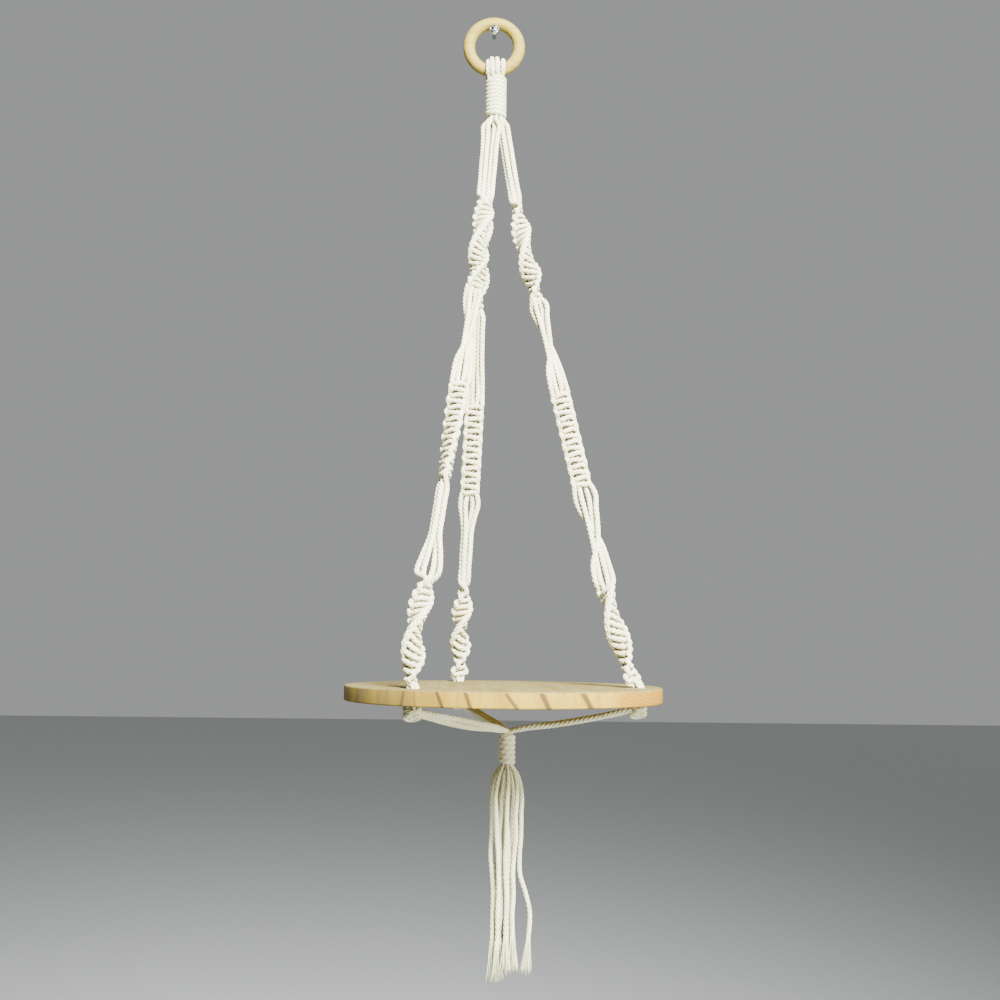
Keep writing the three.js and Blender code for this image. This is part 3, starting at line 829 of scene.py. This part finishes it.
class Leg:
    """A leg's own axes: down it, across it as the viewer sees it, and behind it."""

    def __init__(self, row):
        neck = rad(row["neck"])
        self.start = np.array([
            NECK["x"] + NECK["radius"] * np.cos(neck), NECK["y"] + NECK["radius"] * np.sin(neck), NECK["z"],
        ])
        self.end = hole_at(row["hole"], BOARD_TOP)
        self.length = np.linalg.norm(self.end - self.start)
        down = (self.end - self.start) / self.length
        self.across = np.cross(down, [0, 1, 0])
        self.across /= np.linalg.norm(self.across)
        self.behind = np.cross(self.across, down)
        self.drift = row["drift"]

    def at(self, share, across, behind):
        middle = mix(self.start, self.end, share)
        across = across + np.interp(share, DRIFT_AT, self.drift)
        return middle + self.across * across + self.behind * behind


def painted_shade_in_knots(leg, points, all_turns):
    """How much painted shade each point gets, deep between the bars of a knotted stretch. Its
    place across and behind the leg is turned back as the stretch is turned there, and its reach is
    the length of that place where the outermost reach of the knots counts as 1. The painted shade
    rises as the reach falls below 1."""
    down = (leg.end - leg.start) / leg.length
    away = points - leg.start
    share = away @ down / leg.length
    across = away @ leg.across - np.interp(share, DRIFT_AT, leg.drift)
    behind = away @ leg.behind
    depth = np.zeros(len(points))
    for stretch, turns in zip(STRETCHES, all_turns):
        place = (share - stretch["from"]) / (stretch["to"] - stretch["from"])
        a, b = turned_about(across, behind, -rad(mix(*turns, np.clip(place, 0, 1))))
        wide, deep = KNOT_SIDE + CORD_RADIUS, KNOT_DEPTH * KNOT_BULGE + CORD_RADIUS
        reach = np.hypot(a / wide, b / deep)
        inside = between(place, 0, KNOT_FADE) * between(1 - place, 0, KNOT_FADE)
        depth += stretch["shade"] * inside * ease((KNOT_SHADED_BELOW - reach) / KNOT_SHADE)
    return depth


def add_knots(leg, strands, stretch, turns, order):
    """Ties one stretch of half knots and gives back the order of the strands below it, from left
    to right. In a square sennit the front strand goes to the right and back to the left. In a
    spiral every half knot starts at the right, and the two strands change places each time."""
    square = stretch["kind"] == "square"
    count = round((stretch["to"] - stretch["from"]) * leg.length / HALF_KNOT)
    left, first_core, second_core, right = order
    front, back = (left, right) if square else (right, left)
    front_bar, back_bar = (FRONT_BAR, BACK_BAR) if square else (FRONT_TURN, BACK_TURN)
    way = 1 if square else -1
    for knot in range(count):
        for strand, bar in ((front, front_bar), (back, back_bar)):
            for across, behind, down in bar:
                place = (knot + down) / count
                angle = rad(mix(*turns, place))
                a, b = turned_about(way * across * KNOT_SIDE, behind * KNOT_DEPTH, angle)
                share = mix(stretch["from"], stretch["to"], place)
                strands[strand].append((*leg.at(share, a, b), CORD_RADIUS * KNOTTED))
        if knot % 2 == 0:
            for strand, across in ((first_core, -CORE_APART), (second_core, CORE_APART)):
                place = (knot + 0.5) / count
                a, b = turned_about(across, 0, rad(mix(*turns, place)))
                share = mix(stretch["from"], stretch["to"], place)
                strands[strand].append((*leg.at(share, a, b), CORD_RADIUS * CORE))
        if square:
            way = -way
        else:
            front, back = back, front
    if square:
        left, right = (front, back) if way > 0 else (back, front)
    else:
        left, right = back, front
    return [left, first_core, second_core, right]


# Where each of the four loose strands lies: across as a share of the spread, behind as a share
# of a cord's width, and how much later than the first it crosses
LOOSE_ROWS = ((-1, 0.5, 0.0), (-0.4, -0.45, 0.0), (0.4, 0.45, 0.0), (1, -0.5, 0.22))
LOOSE_PLACES = (0.09, 0.22, 0.38, 0.56, 0.76, 0.92)
# Between which places of a gap its strands draw together, part again, cross and come to lie flat
LOOSE_GATHER = (0, 0.4)
LOOSE_PART = (0.5, 0.88)
LOOSE_CROSS = (0.08, 0.68)
LOOSE_FLAT = (0.6, 1)


def add_loose(leg, strands, start, end, turn, gap, order):
    """The four strands between two knotted stretches. They leave the knots at the first spread,
    draw together to the second and lie flat at the third above the next knots. Where they cross,
    the outer pair changes sides on a cosine, one a little after the other."""
    left, right, middle, foot, cross = gap
    flat = np.cos(rad(turn)) >= 0
    for strand, (side, deep, late) in zip(order, LOOSE_ROWS):
        side = side if flat else -side
        for t in LOOSE_PLACES:
            spread = mix(right if side > 0 else left, middle, between(t, *LOOSE_GATHER))
            spread = mix(spread, foot, between(t, *LOOSE_PART))
            crossed = np.pi * between(t - late, *LOOSE_CROSS) if cross and abs(side) == 1 else 0
            across = side * np.cos(crossed) * spread
            behind = deep * CORD * (1 - between(t, *LOOSE_FLAT))
            strands[strand].append((*leg.at(mix(start, end, t), across, behind), CORD_RADIUS))
    if not flat:
        order = order[::-1]
    if cross:
        order = [order[3], order[1], order[2], order[0]]
    return order


def knotted_leg(name, row):
    """Four strands, each one cord from inside the upper wrap to inside its hole in the board."""
    leg = Leg(row)
    skin = Skin()
    strands = [[], [], [], []]
    sector = rad(row["neck"])
    for strand, (reach, swing) in enumerate(PACKED_PLACES):
        a, b = np.cos(sector + swing) * reach, np.sin(sector + swing) * reach
        for height, wide, thick in PACKED_ROWS:
            strands[strand].append((
                NECK["x"] + a * wide, NECK["y"] + b * wide, NECK["z"] + height, CORD_RADIUS * thick,
            ))
    side = [np.dot([s[0][0], s[0][1], 0], leg.across) for s in strands]
    order = [int(n) for n in np.argsort(side)]
    start, last_turn = 0, 0
    for stretch, turns, gap in zip(STRETCHES, row["turns"], row["gaps"]):
        order = add_loose(leg, strands, start, stretch["from"], last_turn, gap, order)
        order = add_knots(leg, strands, stretch, turns, order)
        start, last_turn = stretch["to"], turns[1]
    hole = hole_at(row["hole"], 0)
    for strand, (a, b) in zip(order, HOLE_PLACES):
        for height, reach in HOLE_ROWS:
            strands[strand].append((
                hole[0] + a * reach, hole[1] + b * reach, BOARD_TOP + height, CORD_RADIUS * IN_HOLE,
            ))
    for number, points in enumerate(strands):
        add_cord(skin, points, start_turn=number * 1.7)
    # Painted shade deep between the bars of the knots
    depth_for_painted_shade = painted_shade_in_knots(leg, np.vstack(skin.points), row["turns"])
    piece(name + "_strands", skin, "cotton", name, depth_for_painted_shade)


# Board


def board():
    """A disc whose edges are rounded by quarter circles, with a hole drilled for each leg."""
    skin = Skin()
    quarter = np.linspace(0, np.pi / 2, 5)
    inner = BOARD_RADIUS - BOARD_EDGE
    low = (inner + BOARD_EDGE * np.sin(quarter), BOARD_UNDER + BOARD_EDGE * (1 - np.cos(quarter)))
    high = (inner + BOARD_EDGE * np.cos(quarter), BOARD_TOP - BOARD_EDGE * (1 - np.sin(quarter)))
    radius = np.concatenate([[BOARD_FLAT], low[0], high[0], [BOARD_FLAT]])
    height = np.concatenate([[BOARD_UNDER], low[1], high[1], [BOARD_TOP]])
    lathe(skin, radius, height, (*BOARD_CENTRE[:2], 0), sides=180)
    made = piece("round_board", skin, "pine", "board")
    drill_skin = Skin()
    depth = (BOARD_UNDER - DRILL_OVER, BOARD_TOP + DRILL_OVER)
    for row in LEGS.values():
        lathe(drill_skin, (HOLE_RADIUS, HOLE_RADIUS), depth, hole_at(row["hole"], 0), sides=48)
    drill_mesh = bpy.data.meshes.new("drill")
    points = np.vstack(drill_skin.points) * MM
    faces = []
    for corners, sizes in zip(drill_skin.faces, drill_skin.sizes):
        faces += corners.reshape(len(sizes), -1).tolist()
    drill_mesh.from_pydata(points.tolist(), [], faces)
    drill = bpy.data.objects.new("drill", drill_mesh)
    bpy.context.scene.collection.objects.link(drill)
    cut = made.modifiers.new("holes", "BOOLEAN")
    cut.operation = "DIFFERENCE"
    cut.solver = "EXACT"
    cut.object = drill
    shape = made.evaluated_get(bpy.context.evaluated_depsgraph_get())
    drilled = bpy.data.meshes.new_from_object(shape)
    made.modifiers.clear()
    made.data = drilled
    bpy.data.objects.remove(drill)
    drilled.set_sharp_from_angle(angle=rad(40))


# Under the board


def under_cords():
    """Each strand comes down out of its hole, goes once round the stopper knot in a tilted coil
    and runs in below the board to the bundle, where it is packed into the lower wrap. On its
    way in it hangs lower on half a wave of a sine, every second strand more than the others."""
    skin = Skin()
    middle = np.array([GATHER["x"], GATHER["y"], GATHER["z"]])
    places = packed_places(4 * len(LEGS), GATHER["bundle"])
    swing = np.linspace(-np.pi / 2, np.pi / 2, 9)
    core_radius = TIP + STOPPER["core"] * np.cos(swing)
    core_height = STOPPER["middle"] + STOPPER["core"] * np.sin(swing)
    for leg_number, row in enumerate(LEGS.values()):
        hole = hole_at(row["hole"], STOPPER["middle"])
        inward = unit((middle - hole)[None] * [1, 1, 0])[0]
        sideways = np.array([-inward[1], inward[0], 0])
        lathe(skin, core_radius, core_height, (*hole[:2], 0), sides=20)
        for number, place in enumerate((-1.5, -0.5, 0.5, 1.5)):
            start = rad(number * 90 + 20)
            points = []
            for height, reach in UNDER_HOLE_ROWS:
                x, y = hole[0] + reach * np.cos(start), hole[1] + reach * np.sin(start)
                points.append((x, y, height, CORD_RADIUS * BENT))
            for degrees in STOPPER_TURNS:
                angle = start + rad(degrees)
                x = hole[0] + STOPPER["coil"] * np.cos(angle)
                y = hole[1] + STOPPER["coil"] * np.sin(angle)
                tilt = STOPPER["tilt"] * np.sin(angle + number)
                level = STOPPER["middle"] - place * STOPPER["rise"] + tilt
                points.append((x, y, level, CORD_RADIUS * STOPPER["strand"]))
            leave = hole + sideways * place * CORD * STOPPER["apart"] + inward * STOPPER["leave"]
            arrive = middle - inward * GATHER["short"] + sideways * place * GATHER["apart"]
            stagger = (1 if number % 2 == 0 else -1) * CORD * row["stack"]
            for t in (0.0, 0.3, 0.62, 0.9):
                run = mix(leave, arrive, t)
                run[2] += (stagger - GATHER["sag"]) * np.sin(np.pi * t)
                points.append((*run, CORD_RADIUS))
            x, y = places[leg_number * 4 + number]
            for height, share, thick in LOWER_PACKED_ROWS:
                packed = (middle[0] + x * share, middle[1] + y * share, LOWER_WRAP["top"] + height)
                points.append((*packed, CORD_RADIUS * thick))
            add_cord(skin, points, start_turn=number)
    piece("cords_under_the_board", skin, "cotton", "under_cords")


def tassel():
    """Twelve strand ends that hang from the lower wrap. Each is a cord down to where it frays,
    and from there a spray of fine threads, spread by chance about the strand's own line."""
    skin = Skin()
    chance = np.random.default_rng(11)
    middle = np.array([GATHER["x"], GATHER["y"]])
    radius = TASSEL["strand"] / 2
    for number, (side, neck, bulge, waist, low, end, foot) in enumerate(TASSEL_STRANDS):
        out = np.array([np.cos(rad(side)), np.sin(rad(side))])
        top = foot + FRAY["length"]
        top_reach = mix(low, end, (TASSEL["low"] - top) / (TASSEL["low"] - foot))
        reaches = (neck, bulge, waist, low, end)
        heights = (TASSEL["neck"], TASSEL["bulge"], TASSEL["waist"], TASSEL["low"], foot)
        rows = []
        for share, up, thick in TASSEL_ROOTS:
            rows.append((neck * share, LOWER_WRAP["bottom"] + up, radius * thick))
        for height in np.arange(TASSEL["neck"], top + FRAY["cord_goes"], -TASSEL["wave"]):
            rows.append((np.interp(-height, np.negative(heights), reaches), height, radius))
        last_reach = mix(top_reach, end, FRAY["cord_share"])
        rows.append((top_reach, top, radius * FRAY["cord_top"]))
        rows.append((last_reach, top - FRAY["cord_goes"], radius * FRAY["cord_end"]))
        sway = chance.normal(0, TASSEL["sway"], (len(rows), 2))
        sway[:2] = 0
        sway[-2:] = 0
        points = [
            (*(middle + out * reach + lean), height, thick)
            for (reach, height, thick), lean in zip(rows, sway)
        ]
        add_cord(skin, points, start_turn=number * 2.1)
        for thread in range(FRAY["threads"]):
            turn, share = chance.uniform(0, 2 * np.pi), np.sqrt(chance.uniform(FRAY["inmost"], 1))
            way = np.array([np.cos(turn), np.sin(turn)]) * share
            tip = foot + chance.uniform(0, FRAY["uneven"])
            bend = chance.normal(0, FRAY["bend"], 2)
            root = middle + out * top_reach + way * radius * FRAY["root"]
            knee_reach = mix(top_reach, end, 0.5)
            knee = middle + out * knee_reach + way * FRAY["spread"] * FRAY["halfway"] + bend
            tail = middle + out * end + way * FRAY["spread"] + bend * FRAY["bend_end"]
            line = [(*root, top + FRAY["lap"]), (*knee, (top + tip) / 2), (*tail, tip)]
            add_thread(skin, line, FRAY["radius"])
    piece("tassel_strands", skin, "cotton", "tassel")


wall_screw()
hanging_ring()
hanging_cords()
wrap("upper_wrap_cord", UPPER_WRAP, "upper_wrap", 200)
for leg_name, leg_row in LEGS.items():
    knotted_leg(leg_name, leg_row)
board()
under_cords()
wrap("lower_wrap_cord", LOWER_WRAP, "lower_wrap", 160)
tassel()


# Floor, light and world. These lengths are in metres.

FLOOR = {"height": -1.5, "half": 14.0}
KEY = {"at": (0.55, -1.75, 0.78), "size": 0.8, "power": 88, "spread": 70}
FILL = {"at": (1.3, -1.2, -1.0), "size": 0.9, "power": 22, "spread": 110}
WORLD_COLOUR = colour(196, 199, 197)
WORLD_STRENGTH = 0.6
LIT = (0.01, -0.1, -0.38)  # the place that both lamps point at


def studio():
    """A pale floor, a soft key light from the upper right and a weak fill from the lower right."""
    half = FLOOR["half"]
    mesh = bpy.data.meshes.new("floor")
    corners = [(-half, -half), (half, -half), (half, half), (-half, half)]
    mesh.from_pydata([(x, y, FLOOR["height"]) for x, y in corners], [], [(0, 1, 2, 3)])
    finish = Finish("floor")
    finish.set(Base_Color=colour(188, 191, 189), Roughness=0.9)
    mesh.materials.append(finish.material)
    floor = bpy.data.objects.new("floor", mesh)
    bpy.context.scene.collection.objects.link(floor)
    for name, given in (("key", KEY), ("fill", FILL)):
        lamp = bpy.data.lights.new(name, "AREA")
        lamp.shape = "SQUARE"
        lamp.size = given["size"]
        lamp.energy = given["power"]
        lamp.spread = rad(given["spread"])
        back = unit((np.array(given["at"]) - LIT)[None])[0]
        right = unit(np.cross([0, 0, 1], back)[None])[0]
        place = np.eye(4)
        place[:3, 0] = right
        place[:3, 1] = np.cross(back, right)
        place[:3, 2] = back
        place[:3, 3] = given["at"]
        light = bpy.data.objects.new(name, lamp)
        light.matrix_world = Matrix(place.tolist())
        bpy.context.scene.collection.objects.link(light)
    world = bpy.data.worlds.new("studio")
    world.use_nodes = True
    background = world.node_tree.nodes["Background"]
    background.inputs["Color"].default_value = WORLD_COLOUR
    background.inputs["Strength"].default_value = WORLD_STRENGTH
    bpy.context.scene.world = world


studio()
